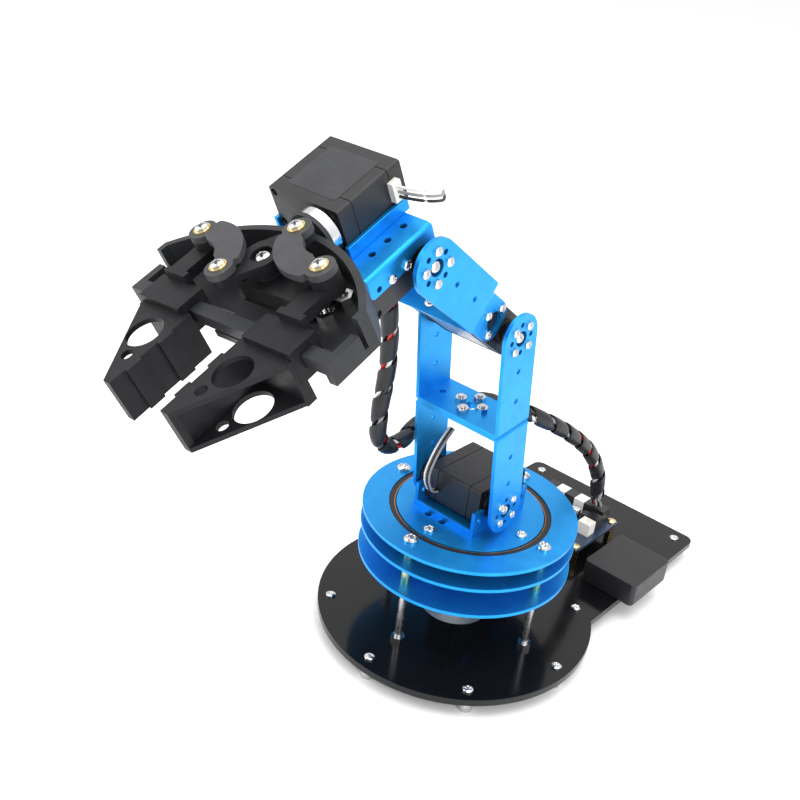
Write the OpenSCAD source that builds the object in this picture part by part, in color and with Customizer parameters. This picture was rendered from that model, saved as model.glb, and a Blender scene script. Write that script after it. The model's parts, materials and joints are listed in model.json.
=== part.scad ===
// Desktop servo arm: six servos, a ball-bearing turntable and a two-finger parallel gripper.
// +Z is up, the arm reaches towards -Y, +X runs along the servo shafts.
// The origin is on the turntable's axis, at the height of the floor. Millimetres.

/* [Base plate] */
// Radius of the round part of the base plate
plate_r = 80; // [74:1:95]
// Thickness of the base plate
plate_t = 4; // [3:0.5:6]
// Width of the straight tail behind the round part
tail_w = 128; // [120:1:150]
// Distance from the turntable axis to the rear edge of the tail
tail_y = 175; // [165:1:200]
// Radius of the tail's two rear corners
tail_corner_r = 6; // [2:1:10]
// Diameter of the hole under the base servo
plate_hole_d = 40; // [24:1:50]

/* [Feet] */
// Height of a foot
foot_h = 8; // [5:0.5:15]
// Diameter of a foot
foot_d = 8; // [7:0.5:10]
// Diameter of the threaded hole in each foot
foot_bore_d = 3; // [2.5:0.5:4]
// Diameter of the circle that the round part's feet stand on
foot_pcd = 145; // [138:1:148]
// Number of feet around the round part
foot_count = 8; // [8]
// Distance of the tail's two feet from its side and rear edges
tail_foot_inset = 10; // [8:1:14]

/* [Ring stack] */
// Diameter of the three blue discs
disc_d = 120; // [116:1:130]
// Thickness of the three blue discs
disc_t = 2; // [1.5:0.5:3]
// Gap between the base servo and the plate and disc around it
servo_seat = 0.2; // [0.2:0.1:3]
// Gap between the lower disc and the middle disc
lower_gap = 14.5; // [13:0.5:18]
// Gap between the middle disc and the top ring
upper_gap = 8.7; // [7:0.1:12]
// Diameter of the circle of the four tie rods
rod_pcd = 100; // [98:1:106]
// Diameter of a tie rod
rod_d = 4; // [3:0.5:4.5]
// Diameter of the spacers between the discs
spacer_d = 5.4; // [5.4:0.2:6]
// Bore of the middle disc and the lower disc
disc_bore_d = 30; // [26:1:40]

/* [Turntable] */
// Diameter of the turntable disc
table_d = 82.4; // [78:0.2:84]
// How much wider than the turntable disc the opening in the top ring is
ring_clear = 8.2; // [7:0.2:9]
// Thickness of the turntable disc
table_t = 2.9; // [2:0.1:4]
// Diameter of the circle of the four turntable screws
table_screw_pcd = 70; // [68:1:74]
// Diameter of the circle that the bearing balls run on
ball_pcd = 88; // [86:0.2:88.6]
// Diameter of a bearing ball
ball_d = 3; // [2.5:0.1:3.4]
// Number of bearing balls
ball_count = 24; // [12:1:36]

/* [Servos] */
// Length of a servo case
servo_l = 40; // [38:0.5:42]
// Thickness of a servo case
servo_t = 20; // [18:0.5:22]
// Height of a servo case along its shaft
servo_h = 37; // [34:0.5:38]
// Distance from the shaft to the near end of the case
servo_end = 10; // [9:0.5:11]
// Distance from the arm's middle plane to the case's shaft side
servo_face = 16.8; // [16:0.2:17.6]
// Diameter of a servo horn
horn_d = 20; // [18.5:0.5:22]
// Thickness of a servo horn's flange
horn_t = 2.5; // [2:0.5:3]
// Diameter of the output shaft
shaft_d = 6; // [5:0.5:7]
// Diameter of the boss around the output shaft
boss_d = 13; // [11:0.5:14]

/* [Arm] */
// Distance between the shoulder axis and the elbow axis
lower_len = 105; // [96:1:120]
// Distance between the elbow axis and the wrist axis
fore_len = 88; // [84:1:100]
// Distance from the elbow axis to the forearm's web
elbow_web = 40; // [39:0.5:44]
// Outside width across a U bracket's two arms
u_width = 54.3; // [53:0.1:58]
// Width of a U bracket's sheet
u_arm_w = 25.5; // [24:0.5:28]
// Thickness of the blue sheet metal
sheet_t = 2; // [1.5:0.1:2]
// Diameter of the circle of the horn screws
horn_pcd = 14.8; // [13:0.2:15.4]
// Lean of the lower arm, forwards from upright
lower_lean = 7.6; // [0:0.1:20]
// Tilt of the forearm, forwards from upright
fore_tilt = 54.7; // [45:0.1:65]
// Tilt of the hand below level
hand_tilt = 27; // [15:0.5:35]
// Roll of the gripper about the hand's axis
grip_roll = 8; // [0:0.5:20]

/* [Shoulder and hand] */
// Height of the shoulder axis above the top ring
shoulder_h = 14.5; // [14:0.1:18]
// Distance of the shoulder axis in front of the turntable axis
shoulder_y = 6.9; // [4:0.1:9]
// Height of the side flanges of a servo bracket
flange_h = 14; // [12:0.5:16]
// Sideways place of the roll axis
roll_x = -7.5; // [-9:0.5:-6]

/* [Gripper] */
// Distance from the gripper's back boss to the crank axis
crank_y = 25; // [24:0.5:28]
// Distance of a finger's pivot from the crank axis
pivot_x = 36; // [34:0.5:38]
// Length of a crank arm
crank_r = 16.5; // [15:0.5:18]
// Angle of the crank arms, at rest
crank_angle = 64; // [56:1:72]
// Half of the gap between the two jaws
jaw_half_gap = 17; // [12:0.5:20]
// Length of a jaw in front of its saddle
jaw_len = 39; // [34:1:46]
// Height of a jaw
jaw_h = 20; // [18:0.5:24]
// Thickness of a jaw's walls
jaw_wall = 2.2; // [1.8:0.1:3]
// Half width of the gripper's frame
frame_half_w = 62; // [60:1:66]
// Radius of the gripper frame's curved back
frame_back_r = 83; // [80:1:90]
// Thickness of a gripper link
link_t = 3; // [2:0.5:4]
// Width of a gripper link
link_w = 12; // [10:0.5:12.5]
// Bow of a gripper link, away from the straight line between its ends
link_bow = 7.5; // [5:0.5:8]

/* [Electronics] */
// Width of the controller board
board_w = 59; // [50:1:62]
// Length of the controller board
board_l = 50; // [44:1:56]
// Height of the board's standoffs
board_h = 10; // [7:0.5:14]
// Distance from the turntable axis to the middle of the board
board_y = 110; // [106:1:120]
// Sideways place of the middle of the board
board_x = -2.5; // [-6:0.5:0]
// Length of the receiver case
receiver_l = 42; // [36:1:46]
// Width of the receiver case
receiver_w = 36; // [30:1:40]
// Height of the receiver case
receiver_h = 15; // [10:0.5:18]

/* [Hidden] */

// clearances
run_gap = 0.3;
shaft_gap = 0.05;
hole_gap = 0.1;
fine = 48;

// heights above the floor
plate_top = foot_h + plate_t;
foot_grip = foot_h * 0.4;
ring_bore_d = table_d + ring_clear;
low_top = plate_top + servo_h + 2 * servo_seat + disc_t;
mid_top = low_top + lower_gap + disc_t;
ring_top = mid_top + upper_gap + disc_t;
table_z = ring_top - table_t;
inner_low = mid_top + run_gap;
shoulder_z = ring_top + shoulder_h;

// places of the arm's joints
elbow_y = -shoulder_y - lower_len * sin(lower_lean);
elbow_z = shoulder_z + lower_len * cos(lower_lean);
wrist_y = elbow_y - fore_len * sin(fore_tilt);
wrist_z = elbow_z + fore_len * cos(fore_tilt);

// servo and bracket sizes that follow
servo_back = servo_h - servo_face;
u_half = u_width / 2;
u_in = u_half - sheet_t;
u_r = u_arm_w / 2;
half_t = servo_t / 2;
far_end = servo_l - servo_end;
neck_d = 10;
boss_h = 1.6;
flange_face = servo_face + hole_gap + sheet_t;
flange_back = servo_back + hole_gap + sheet_t;
flange_w = servo_t + 1;
flange_start = 9;
bend_r = 2;
link_hole_near = 18.3;
link_hole_far = 35.5;
m3_r = 1.5;
m25_r = 1.25;
case_screw_depth = 1.2;
web_hole_r = 7;
web_side_hole = 19.6;

// roll servo: its case lies on the hand's channel
channel_top = u_r + run_gap + 0.05;
roll_z = channel_top + sheet_t + hole_gap + half_t;
roll_face_y = 21.5;
horn_front = roll_face_y + boss_h + run_gap + 4.6;

// gripper, measured from the roll axis: x across, y back, z up
grip_back = horn_front;
crank_axis_y = grip_back + crank_y;
saddle_front = crank_axis_y + 32.7;
saddle_back = saddle_front - 13.5;
rail_back = saddle_back + 3.5;
rail_front = rail_back + 6;
rail_top = -1.5;
rail_h = 6.5;
tray_z = -11;
tray_t = 3;
rim_top = 4.6;
arc_y = grip_back + 3 + frame_back_r;
saddle_top = 2;
jaw_top = -1.3;
crank_z = 6.7;
crank_t = 3;
link_z = crank_z + crank_t + run_gap;
grip_servo_top = 1;
lug_span = 4.5;
lug_gap = 10;

// ---- small shared shapes ----
module pill(w, l, r) {
    square([w - 2 * r, l], center = true);
    square([w, l - 2 * r], center = true);
    for (sx = [-1, 1], sy = [-1, 1])
        translate([sx * (w / 2 - r), sy * (l / 2 - r)]) circle(r, $fn = fine);
}

module rounded_block(w, l, h, r) {
    linear_extrude(h) pill(w, l, r);
}

module pan_screw(r, head_r, head_h, length) {
    rotate_extrude($fn = fine) intersection() {
        union() {
            translate([0, head_h - head_r * 1.6]) circle(head_r * 1.6, $fn = 96);
        }
        square([head_r, head_h]);
    }
    translate([0, 0, -length]) cylinder(r = r, h = length + 0.2, $fn = fine);
}

module hex_nut(across, h, bore_r) {
    difference() {
        cylinder(d = across / cos(30), h = h, $fn = 6);
        translate([0, 0, -1]) cylinder(r = bore_r, h = h + 2, $fn = fine);
    }
}

module at_angles(count, start = 0) {
    for (i = [0:count - 1]) rotate([0, 0, start + i * 360 / count]) children();
}

// ---- frames of the moving bodies ----
module at_shoulder() {
    translate([0, -shoulder_y, shoulder_z]) rotate([lower_lean, 0, 0]) children();
}

module at_elbow() {
    translate([0, elbow_y, elbow_z]) rotate([fore_tilt, 0, 0]) children();
}

module at_elbow_of_lower() {
    translate([0, elbow_y, elbow_z]) rotate([lower_lean, 0, 0]) children();
}

module at_wrist_of_fore() {
    translate([0, wrist_y, wrist_z]) rotate([fore_tilt, 0, 0]) children();
}

module at_wrist() {
    translate([0, wrist_y, wrist_z]) rotate([hand_tilt, 0, 0]) children();
}

module at_roll() {
    at_wrist() translate([roll_x, 0, roll_z]) rotate([0, -grip_roll, 0]) children();
}

// ---- servo case: shaft along +Z through the origin, case below z = 0, body towards +Y ----
module servo_case(rear_bore = true) {
    seam = 0.4;
    difference() {
        union() {
            translate([0, servo_l / 2 - servo_end, -servo_h + 8])
                rounded_block(servo_t, servo_l, servo_h - 16, 1.2);
            translate([0, servo_l / 2 - servo_end, -8 + seam])
                rounded_block(servo_t, servo_l, 8 - seam, 1.2);
            translate([0, servo_l / 2 - servo_end, -servo_h])
                rounded_block(servo_t, servo_l, 8 - seam, 1.2);
            translate([0, servo_l / 2 - servo_end, -servo_h + 7])
                rounded_block(servo_t - 0.8, servo_l - 0.8, servo_h - 14, 1);
            cylinder(d = boss_d, h = boss_h, $fn = fine);
        }
        for (sx = [-1, 1], y = [-servo_end + 2.6, far_end - 2.6])
            translate([sx * (half_t - 2.6), y, -case_screw_depth]) cylinder(r = 1.7, h = 4, $fn = fine);
        translate([0, 0, -4]) cylinder(d = shaft_d + 2 * shaft_gap, h = 8, $fn = fine);
        if (rear_bore)
            translate([0, 0, -servo_h - 1]) cylinder(d = shaft_d + 2 * shaft_gap, h = 5, $fn = fine);
    }
}

// horn in the servo's frame: spline, neck and flange, with its outer face at z = top
module servo_horn(top) {
    difference() {
        union() {
            translate([0, 0, -3]) cylinder(d = shaft_d, h = top + 3 - horn_t + 1, $fn = fine);
            translate([0, 0, boss_h + run_gap])
                cylinder(d = neck_d, h = top - boss_h - run_gap, $fn = fine);
            translate([0, 0, top - horn_t]) cylinder(d = horn_d, h = horn_t, $fn = fine);
        }
        translate([0, 0, top - 8]) cylinder(r = m3_r, h = 9, $fn = fine);
        at_angles(4, 45)
            translate([horn_pcd / 2, 0, top - horn_t - 1])
                cylinder(r = m25_r + hole_gap, h = horn_t + 2, $fn = fine);
    }
}

// idler disc on the servo's rear side, with a stub in the case; outer face at z = top
module idler_horn(top) {
    difference() {
        union() {
            translate([0, 0, -3]) cylinder(d = shaft_d, h = top + 2, $fn = fine);
            translate([0, 0, top - horn_t + 0.1]) cylinder(d = horn_d, h = horn_t - 0.1, $fn = fine);
        }
        translate([0, 0, top - 6]) cylinder(r = m3_r, h = 9, $fn = fine);
        at_angles(4, 45)
            translate([horn_pcd / 2, 0, top - horn_t - 1])
                cylinder(r = m25_r + hole_gap, h = horn_t + 2, $fn = fine);
    }
}

// the shaft side looks along +X
module shaft_side() {
    translate([servo_face, 0, 0]) rotate([0, 90, 0]) children();
}

module rear_side() {
    translate([-servo_back, 0, 0]) rotate([0, -90, 0]) children();
}

module horn_pair() {
    shaft_side() servo_horn(u_in - servo_face);
    rear_side() idler_horn(u_in - servo_back);
}

// four flange screws and one centre screw on each side of a U bracket's hub
module horn_screw_set() {
    for (side = [0, 1]) mirror([side, 0, 0]) {
        translate([u_half, 0, 0]) rotate([0, 90, 0]) at_angles(4, 45)
            translate([horn_pcd / 2, 0, 0]) pan_screw(m25_r, 2.2, 1.7, sheet_t + 2.2);
        translate([u_in, 0, 0]) rotate([0, 90, 0]) pan_screw(m3_r - hole_gap, 2.7, 2.2, 3.4);
    }
}

// ---- U bracket: hub at the origin, arms along +Z, web's outer face at z = len ----
module u_profile(len) {
    difference() {
        union() {
            translate([-u_half, -u_r - 1]) square([u_width, len + u_r + 1 - bend_r]);
            translate([-u_half + bend_r, 0]) square([u_width - 2 * bend_r, len]);
            for (sx = [-1, 1]) translate([sx * (u_half - bend_r), len - bend_r]) circle(bend_r, $fn = fine);
        }
        translate([-u_in, -u_r - 2]) square([2 * u_in, len + u_r + 2 - sheet_t]);
    }
}

module u_bracket(len, near_hole = link_hole_near, far_hole = link_hole_far) {
    difference() {
        intersection() {
            translate([0, u_r, 0]) rotate([90, 0, 0]) linear_extrude(u_arm_w) u_profile(len);
            translate([-u_half - 1, 0, 0]) rotate([90, 0, 90]) linear_extrude(u_width + 2) {
                circle(u_r, $fn = 96);
                translate([-u_r, 0]) square([u_arm_w, len + 1]);
            }
        }
        // hub holes in both arms
        rotate([0, 90, 0]) translate([0, 0, -u_half - 1]) {
            cylinder(r = 4, h = u_width + 2, $fn = fine);
            at_angles(8) translate([horn_pcd / 2, 0, 0])
                cylinder(r = m25_r + hole_gap, h = u_width + 2, $fn = fine);
        }
        for (z = [near_hole, far_hole])
            translate([-u_half - 1, 0, z]) rotate([0, 90, 0]) cylinder(r = 1.4, h = u_width + 2, $fn = fine);
        // web holes
        translate([0, 0, len - sheet_t - 1]) {
            cylinder(r = 3.5, h = sheet_t + 2, $fn = fine);
            at_angles(4) translate([web_hole_r, 0, 0])
                cylinder(r = m3_r + hole_gap, h = sheet_t + 2, $fn = fine);
            for (sx = [-1, 1]) translate([sx * web_side_hole, 0, 0])
                cylinder(r = 1.7, h = sheet_t + 2, $fn = fine);
        }
    }
}

// ---- servo bracket: web across the case, two flanges along its sides ----
// The web's outer face is at z = web_z, the flanges run down to z = low, across y = -w/2..w/2.
module bracket_shell(web_z, low, w, outer_x, outer_back, r) {
    difference() {
        translate([-outer_back, w / 2, low]) rotate([90, 0, 0]) linear_extrude(w) difference() {
            union() {
                square([outer_x + outer_back, web_z - low - bend_r]);
                translate([bend_r, 0]) square([outer_x + outer_back - 2 * bend_r, web_z - low]);
                for (x = [bend_r, outer_x + outer_back - bend_r])
                    translate([x, web_z - low - bend_r]) circle(bend_r, $fn = fine);
            }
            translate([sheet_t, -1]) square([outer_x + outer_back - 2 * sheet_t, web_z - low - sheet_t + 1]);
        }
        // rounded flange corners
        for (sy = [-1, 1]) translate([-outer_back - 1, sy * (w / 2 - r), low + r])
            rotate([0, 90, 0]) difference() {
                translate([0, sy > 0 ? 0 : -r - 1, 0]) cube([r + 1, r + 1, outer_x + outer_back + 2]);
                translate([0, 0, -1]) cylinder(r = r, h = outer_x + outer_back + 4, $fn = fine);
            }
    }
}

module cross_hole(y, z, r) {
    translate([-u_half, y, z]) rotate([0, 90, 0]) cylinder(r = r, h = u_width, $fn = fine);
}

// ---- base ----
module foot_places() {
    at_angles(foot_count, 360 / foot_count) translate([foot_pcd / 2, 0, 0]) children();
    for (sx = [-1, 1])
        translate([sx * (tail_w / 2 - tail_foot_inset), tail_y - tail_foot_inset, 0]) children();
}

module rod_places() {
    at_angles(4) translate([rod_pcd / 2, 0, 0]) children();
}

module board_corners() {
    for (sx = [-1, 1], sy = [-1, 1])
        translate([board_x + sx * (board_w / 2 - 3.5), board_y + sy * (board_l / 2 - 3.5), 0]) children();
}

module base_plate() {
    color([0.06, 0.06, 0.07]) difference() {
        translate([0, 0, foot_h]) linear_extrude(plate_t) difference() {
            union() {
                circle(plate_r, $fn = 180);
                translate([-tail_w / 2, 0]) intersection() {
                    square([tail_w, tail_y]);
                    translate([tail_w / 2, tail_y / 2]) pill(tail_w, tail_y, tail_corner_r);
                }
            }
            circle(d = plate_hole_d, $fn = 96);
        }
        translate([0, 0, foot_h - 1]) {
            foot_places() cylinder(d = foot_bore_d + 0.8, h = plate_t + 2, $fn = fine);
            rod_places() cylinder(d = rod_d + 2 * hole_gap, h = plate_t + 2, $fn = fine);
            board_corners() cylinder(r = m3_r + hole_gap, h = plate_t + 2, $fn = fine);
        }
    }
}

module foot_standoffs() {
    color([0.45, 0.48, 0.42]) foot_places() difference() {
        cylinder(d = foot_d, h = foot_h, $fn = fine);
        translate([0, 0, -1]) cylinder(d = foot_bore_d, h = foot_h / 2 + 1, $fn = fine);
        translate([0, 0, foot_h - foot_grip - 0.3])
            cylinder(d = foot_bore_d + 0.8, h = foot_grip + 1.3, $fn = fine);
    }
}

module foot_screws() {
    color([0.78, 0.78, 0.8]) foot_places() translate([0, 0, plate_top])
        pan_screw(foot_bore_d / 2 - hole_gap, 2.8, 1.6, plate_t + foot_grip);
}

module tie_rods() {
    color([0.75, 0.76, 0.78]) rod_places() translate([0, 0, foot_h - 2])
        cylinder(d = rod_d, h = ring_top - foot_h + 1, $fn = fine);
}

module tie_rod_nuts() {
    color([0.72, 0.72, 0.74]) rod_places() {
        translate([0, 0, plate_top]) hex_nut(7, 3, rod_d / 2 + hole_gap);
        translate([0, 0, foot_h - 2.6]) hex_nut(7, 2.6, rod_d / 2 + hole_gap);
        translate([0, 0, low_top - disc_t - 3]) hex_nut(7, 3, rod_d / 2 + hole_gap);
    }
}

module rod_spacers() {
    color([0.78, 0.66, 0.36]) rod_places() {
        translate([0, 0, low_top]) difference() {
            cylinder(d = spacer_d, h = lower_gap, $fn = fine);
            translate([0, 0, -1]) cylinder(d = rod_d + 2 * hole_gap, h = lower_gap + 2, $fn = fine);
        }
        translate([0, 0, mid_top]) difference() {
            cylinder(d = spacer_d, h = upper_gap, $fn = fine);
            translate([0, 0, -1]) cylinder(d = rod_d + 2 * hole_gap, h = upper_gap + 2, $fn = fine);
        }
    }
}

module blue_disc(top, bore) {
    translate([0, 0, top - disc_t]) difference() {
        cylinder(d = disc_d, h = disc_t, $fn = 180);
        translate([0, 0, -1]) cylinder(d = bore, h = disc_t + 2, $fn = 96);
        translate([0, 0, -1]) rod_places() cylinder(d = rod_d + 2 * hole_gap, h = disc_t + 2, $fn = fine);
    }
}

module lower_disc() {
    color([0.05, 0.35, 0.75]) blue_disc(low_top, disc_bore_d);
}

module middle_disc() {
    color([0.05, 0.35, 0.75]) blue_disc(mid_top, disc_bore_d);
}

module top_ring() {
    color([0.08, 0.45, 0.85]) blue_disc(ring_top, ring_bore_d);
}

module ring_screws() {
    color([0.8, 0.8, 0.82]) rod_places() translate([0, 0, ring_top]) rotate_extrude($fn = fine)
        intersection() {
            translate([0, -4.4]) circle(7.3, $fn = 96);
            square([3.9, 3]);
        }
}

// ---- bearing ----
race_gap = 0.55;
inner_race_r = 31;
outer_race_r = rod_pcd / 2 - spacer_d / 2 - hole_gap;
race_mid_z = (inner_low + table_z) / 2;

module ball_groove() {
    translate([0, 0, race_mid_z]) rotate_extrude($fn = 180)
        translate([ball_pcd / 2, 0]) circle(ball_d / 2 + shaft_gap, $fn = fine);
}

// clamped between the middle disc and the top ring; its lip covers the balls
module outer_race() {
    lip_low = table_z + run_gap;
    color([0.08, 0.08, 0.09]) difference() {
        union() {
            translate([0, 0, mid_top]) cylinder(r = outer_race_r, h = upper_gap, $fn = 180);
            translate([0, 0, mid_top])
                cylinder(d = ring_bore_d - 2 * hole_gap, h = upper_gap + 1.3, $fn = 180);
        }
        translate([0, 0, mid_top - 1])
            cylinder(r = ball_pcd / 2 + race_gap, h = lip_low - mid_top + 1, $fn = 180);
        translate([0, 0, mid_top]) cylinder(d = table_d + 1.2, h = upper_gap + 3, $fn = 180);
        ball_groove();
    }
}

module bearing_balls() {
    color([0.8, 0.8, 0.82]) translate([0, 0, race_mid_z]) at_angles(ball_count)
        translate([ball_pcd / 2, 0, 0]) sphere(d = ball_d, $fn = 32);
}

module inner_race() {
    color([0.12, 0.12, 0.13]) difference() {
        translate([0, 0, inner_low]) difference() {
            cylinder(r = ball_pcd / 2 - race_gap, h = table_z - inner_low, $fn = 180);
            translate([0, 0, -1]) cylinder(r = inner_race_r, h = upper_gap + 2, $fn = 180);
        }
        ball_groove();
        table_screw_holes(m3_r);
    }
}

module table_screw_holes(r) {
    at_angles(4) translate([table_screw_pcd / 2, 0, mid_top - 1])
        cylinder(r = r, h = ring_top - mid_top + 2, $fn = fine);
}

module turntable_disc() {
    color([0.08, 0.45, 0.85]) difference() {
        translate([0, 0, table_z]) cylinder(d = table_d, h = table_t, $fn = 180);
        table_screw_holes(m3_r + hole_gap);
        for (x = [-10.3, -0.4]) translate([x, -24, mid_top])
            cylinder(r = 2, h = 20, $fn = fine);
        translate([0, 0, mid_top]) {
            cylinder(r = 4, h = 20, $fn = fine);
            at_angles(4, 45) translate([hub_pcd / 2, 0, 0])
                cylinder(r = m3_r + hole_gap, h = 20, $fn = fine);
        }
    }
}

module turntable_screws() {
    color([0.8, 0.8, 0.82]) at_angles(4) translate([table_screw_pcd / 2, 0, ring_top])
        pan_screw(m3_r - hole_gap, 3.1, 1.9, 7);
}

// ---- base servo and its drive ----
base_servo_top = low_top - disc_t - servo_seat;
hub_pcd = 16;
hub_low = base_servo_top + 7.5;

module base_servo_case() {
    color([0.07, 0.07, 0.08]) translate([0, 0, base_servo_top]) servo_case(rear_bore = false);
}

module base_servo_horn() {
    color([0.8, 0.8, 0.82]) translate([0, 0, base_servo_top]) difference() {
        union() {
            translate([0, 0, -3]) cylinder(d = shaft_d, h = 8, $fn = fine);
            translate([0, 0, boss_h + run_gap]) cylinder(d = neck_d, h = 5, $fn = fine);
            translate([0, 0, 7.5 - horn_t]) cylinder(d = horn_d, h = horn_t, $fn = fine);
        }
        at_angles(4, 45) translate([hub_pcd / 2, 0, 0]) cylinder(r = m25_r, h = 9, $fn = fine);
    }
}

module drive_hub() {
    color([0.75, 0.76, 0.78]) translate([0, 0, hub_low]) difference() {
        cylinder(d = horn_d + 2, h = table_z - hub_low, $fn = fine);
        translate([0, 0, -1]) cylinder(r = 3, h = 40, $fn = fine);
        translate([0, 0, -1]) at_angles(4, 45)
            translate([hub_pcd / 2, 0, 0]) cylinder(r = m25_r, h = 40, $fn = fine);
    }
}

// ---- electronics on the tail ----
module controller_board() {
    color([0.07, 0.13, 0.24]) translate([board_x, board_y, plate_top + board_h]) difference() {
        rounded_block(board_w, board_l, 1.6, 2);
        translate([-board_x, -board_y, -1]) board_corners() cylinder(r = m3_r + hole_gap, h = 4, $fn = fine);
    }
}

module board_standoffs() {
    color([0.78, 0.66, 0.36]) board_corners() {
        translate([0, 0, plate_top]) cylinder(d = 5.5 / cos(30), h = board_h, $fn = 6);
        translate([0, 0, plate_top + board_h + 1.6]) pan_screw(m3_r, 2.8, 1.8, 2.5);
    }
}

board_top = plate_top + board_h + 1.6;

// a block on the board, placed from the middle of the board
module board_block(x, y, w, l, h) {
    translate([board_x + x - w / 2, board_y + y - l / 2, board_top]) cube([w, l, h]);
}

module board_parts() {
    color([0.1, 0.1, 0.12]) {
        board_block(-9, -3, 12, 12, 1.6);
        board_block(8, -6, 8, 6, 1.6);
        for (i = [0:5]) board_block(-19 + i * 7.6, 18, 7.4, 8.5, 8.5);
        for (i = [0:1]) board_block(21, 6 - i * 9, 8.5, 7.6, 8.5);
        board_block(-22, -7, 9, 12, 9);
        board_block(2, -20, 9, 7, 3.2);
    }
    color([0.75, 0.75, 0.78]) {
        for (x = [-2, 7, 15]) translate([board_x + x, board_y + 6, board_top])
            cylinder(d = 6.3, h = 7.5, $fn = fine);
        board_block(-14, 8, 7, 6, 3);
    }
}

receiver_x = tail_w / 2 - 9;
receiver_y = 98.5;

module receiver_case() {
    color([0.05, 0.05, 0.06]) translate([receiver_x, receiver_y, plate_top])
        rounded_block(receiver_w, receiver_l, receiver_h, 3);
}

module ribbon(points, w, t) {
    for (i = [0:len(points) - 2]) hull() {
        translate(points[i]) cube([w, t, t], center = true);
        translate(points[i + 1]) cube([w, t, t], center = true);
    }
}

module wire_ribbons() {
    color([0.7, 0.12, 0.12]) {
        ribbon([[board_x - 22, board_y - 7, board_top + 10], [board_x - 20, board_y - 14, board_top + 20],
            [board_x - 10, board_y - 22, board_top + 22], [board_x + 1, board_y - 24, board_top + 12],
            [board_x + 2, board_y - 20, board_top + 4.2]], 7, 2);
        ribbon([[20, 109, 48.4], [19, 114, 42], [14, 122, 37], [12, 127, 33.5]], 8, 2);
    }
}

// ---- turntable's servo bracket ----
module shoulder_bracket() {
    rear_y = 24;
    front_y = -22.4;
    low = ring_top;
    color([0.06, 0.4, 0.82]) difference() {
        union() {
            translate([-flange_back, front_y, low])
                cube([flange_back + flange_face, rear_y - front_y, sheet_t]);
            translate([-flange_back, front_y, low]) cube([flange_back + flange_face, sheet_t, 3.4]);
            for (x = [-flange_back, servo_face + hole_gap])
                translate([x, front_y, low]) cube([sheet_t, rear_y - front_y, flange_h]);
        }
        translate([0, -shoulder_y, shoulder_z]) rotate([0, 90, 0])
            translate([0, 0, -u_half]) cylinder(d = boss_d + 2, h = u_width, $fn = fine);
        cross_hole(rear_y - 4.4, low + 8.2, 1.6);
        cross_hole(front_y + 4.4, low + 8.2, 1.6);
        for (x = [-14, -2, 10], y = [-10, 2, 14]) translate([x, y, low - 1])
            cylinder(r = 1.6, h = sheet_t + 2, $fn = fine);
    }
}

module shoulder_servo_case() {
    color([0.05, 0.05, 0.06]) translate([0, -shoulder_y, shoulder_z]) shaft_side() servo_case();
}

module shoulder_leads() {
    color([0.85, 0.85, 0.86]) for (i = [0:2]) translate([i * 1.5, 0, 0]) sweep_tube(lead_path, 0.65, 8);
}

// ---- lower arm ----
module lower_u_bracket() {
    color([0.15, 0.55, 0.9]) at_shoulder() u_bracket(lower_len / 2);
}

module upper_u_bracket() {
    color([0.15, 0.55, 0.9]) at_elbow_of_lower() rotate([0, 180, 0]) u_bracket(lower_len / 2);
}

module web_bolts() {
    color([0.8, 0.8, 0.82]) at_shoulder() translate([0, 0, lower_len / 2 - sheet_t]) rotate([180, 0, 0])
        at_angles(4) translate([web_hole_r, 0, 0]) pan_screw(m3_r, 2.75, 2, 2 * sheet_t + 3.6);
}

module web_nuts() {
    color([0.74, 0.74, 0.76]) at_shoulder() translate([0, 0, lower_len / 2 + sheet_t])
        at_angles(4) translate([web_hole_r, 0, 0]) hex_nut(5.5, 2.4, m3_r + hole_gap);
}

module shoulder_horns() {
    color([0.8, 0.8, 0.82]) at_shoulder() horn_pair();
}

module shoulder_horn_screws() {
    color([0.85, 0.85, 0.86]) at_shoulder() horn_screw_set();
}

module elbow_horns() {
    color([0.8, 0.8, 0.82]) at_elbow_of_lower() horn_pair();
}

module elbow_horn_screws() {
    color([0.85, 0.85, 0.86]) at_elbow_of_lower() horn_screw_set();
}

// ---- forearm ----
module elbow_servo_case() {
    color([0.05, 0.05, 0.06]) at_elbow() rotate([90, 0, 0]) shaft_side() servo_case();
}

module elbow_bracket() {
    color([0.12, 0.5, 0.88]) at_elbow() difference() {
        bracket_shell(elbow_web, flange_start, flange_w, flange_face, flange_back, 8);
        cross_hole(0, 16.2, 5);
        for (y = [-7.1, 7.1]) cross_hole(y, 16, m25_r + hole_gap);
        cross_hole(0, 23.2, m25_r + hole_gap);
        translate([0, 0, elbow_web - sheet_t - 1]) {
            at_angles(4) translate([web_hole_r, 0, 0])
                cylinder(r = m3_r + hole_gap, h = sheet_t + 2, $fn = fine);
        }
    }
}

module forearm_screws() {
    color([0.8, 0.8, 0.82]) at_elbow() at_angles(4) translate([web_hole_r, 0, elbow_web]) {
        translate([0, 0, sheet_t]) pan_screw(m3_r, 2.75, 2, 2 * sheet_t + 3.4);
        translate([0, 0, -sheet_t - 2.4]) hex_nut(5.5, 2.4, m3_r + hole_gap);
    }
    color([0.85, 0.85, 0.86]) at_elbow() for (p = [[-7.1, 16], [7.1, 16], [0, 23.2]]) {
        translate([flange_face, p[0], p[1]]) rotate([0, 90, 0]) pan_screw(m25_r, 2.2, 1.7, sheet_t);
        translate([-flange_back, p[0], p[1]]) rotate([0, -90, 0]) pan_screw(m25_r, 2.2, 1.7, sheet_t);
    }
}

module forearm_u_bracket() {
    fore_u = fore_len - elbow_web;
    color([0.2, 0.6, 0.95]) at_wrist_of_fore() rotate([0, 180, 0])
        u_bracket(fore_u, link_hole_near, link_hole_far);
}

module wrist_horns() {
    color([0.8, 0.8, 0.82]) at_wrist_of_fore() horn_pair();
}

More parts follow.
